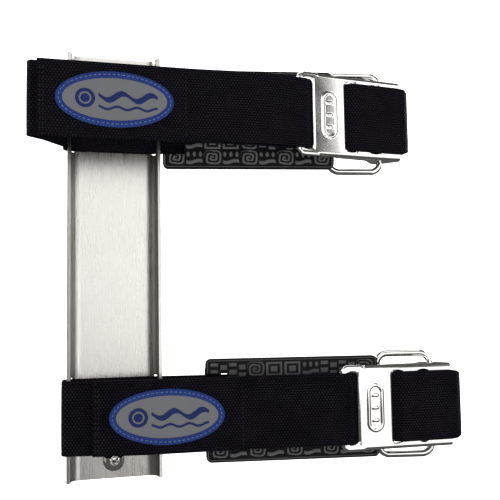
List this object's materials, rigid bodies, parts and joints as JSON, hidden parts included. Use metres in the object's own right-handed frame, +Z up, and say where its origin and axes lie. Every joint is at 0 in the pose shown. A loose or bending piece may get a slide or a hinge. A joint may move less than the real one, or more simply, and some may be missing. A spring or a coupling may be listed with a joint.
{
  "type": "tank adapter with cam bands",
  "caption": "Folded steel channel with upturned flanges that bolts upright to a backplate and holds a diving tank with webbing cam bands, lever buckles and rubber grip pads.",
  "frame": {"origin": "midway between the two bolts, on the back face of the channel", "axes": "+Z up along the channel, +X across it towards the buckles, +Y out of its back towards the backplate"},
  "size_m": [0.3147, 0.0836, 0.3048],
  "materials": {
    "brushed_steel": "stainless sheet brushed along its length",
    "polished_steel": "mirror-polished stainless",
    "webbing": "coarse black nylon webbing",
    "tape": "black hook-and-loop tape",
    "pad_rubber": "dark moulded rubber with raised mid-grey relief",
    "patch_rim": "blue soft plastic rim with sewn edge",
    "patch_face": "grey soft plastic"
  },
  "bodies": {
    "adapter": {"adapter_channel": "brushed_steel", "mounting_bolts": "polished_steel", "upper_strap_sewn_end": "webbing", "upper_strap_far_run": "webbing", "upper_strap_channel_run": "webbing", "upper_strap_slot_turn": "webbing", "upper_strap_riser": "webbing", "upper_strap_near_run": "webbing", "upper_loop_tape": "tape", "lower_strap_sewn_end": "webbing", "lower_strap_far_run": "webbing", "lower_strap_channel_run": "webbing", "lower_strap_slot_turn": "webbing", "lower_strap_riser": "webbing", "lower_strap_near_run": "webbing", "lower_loop_tape": "tape"},
    "upper_bail": {"upper_wire_bail": "polished_steel", "upper_strap_buckle_run": "webbing"},
    "upper_lever": {"upper_cam_lever": "polished_steel", "upper_strap_buckle_wrap": "webbing"},
    "upper_tail": {"upper_strap_tail": "webbing", "upper_hook_tape": "tape", "upper_patch_rim": "patch_rim", "upper_patch_face": "patch_face"},
    "upper_pad": {"upper_grip_pad": "pad_rubber"},
    "lower_bail": {"lower_wire_bail": "polished_steel", "lower_strap_buckle_run": "webbing"},
    "lower_lever": {"lower_cam_lever": "polished_steel", "lower_strap_buckle_wrap": "webbing"},
    "lower_tail": {"lower_strap_tail": "webbing", "lower_hook_tape": "tape", "lower_patch_rim": "patch_rim", "lower_patch_face": "patch_face"},
    "lower_pad": {"lower_grip_pad": "pad_rubber"}
  },
  "joints": [
    {"name": "upper_bail_swing", "type": "hinge", "parent": "adapter", "child": "upper_bail", "pos_m": [0.16035, -0.02465, 0.1069], "axis": [0, 0, 1], "range_deg": [0, 20]},
    {"name": "upper_lever_open", "type": "hinge", "parent": "upper_bail", "child": "upper_lever", "pos_m": [0.20041, -0.03063, 0.1069], "axis": [0, 0, 1], "range_deg": [0, 150]},
    {"name": "upper_tail_peel", "type": "hinge", "parent": "upper_lever", "child": "upper_tail", "pos_m": [0.12681, -0.05478, 0.1069], "axis": [0, 0, 1], "range_deg": [0, 100]},
    {"name": "upper_pad_slide", "type": "slide", "parent": "adapter", "child": "upper_pad", "axis": [0.985, -0.1727, 0], "range_m": [0, 0.006]},
    {"name": "lower_bail_swing", "type": "hinge", "parent": "adapter", "child": "lower_bail", "pos_m": [0.19432, -0.02783, -0.1069], "axis": [0, 0, 1], "range_deg": [0, 20]},
    {"name": "lower_lever_open", "type": "hinge", "parent": "lower_bail", "child": "lower_lever", "pos_m": [0.23389, -0.03646, -0.1069], "axis": [0, 0, 1], "range_deg": [0, 150]},
    {"name": "lower_tail_peel", "type": "hinge", "parent": "lower_lever", "child": "lower_tail", "pos_m": [0.15741, -0.0488, -0.1069], "axis": [0, 0, 1], "range_deg": [0, 100]},
    {"name": "lower_pad_slide", "type": "slide", "parent": "adapter", "child": "lower_pad", "axis": [0.9875, -0.1574, 0], "range_m": [-0.025, 0.004]}
  ]
}
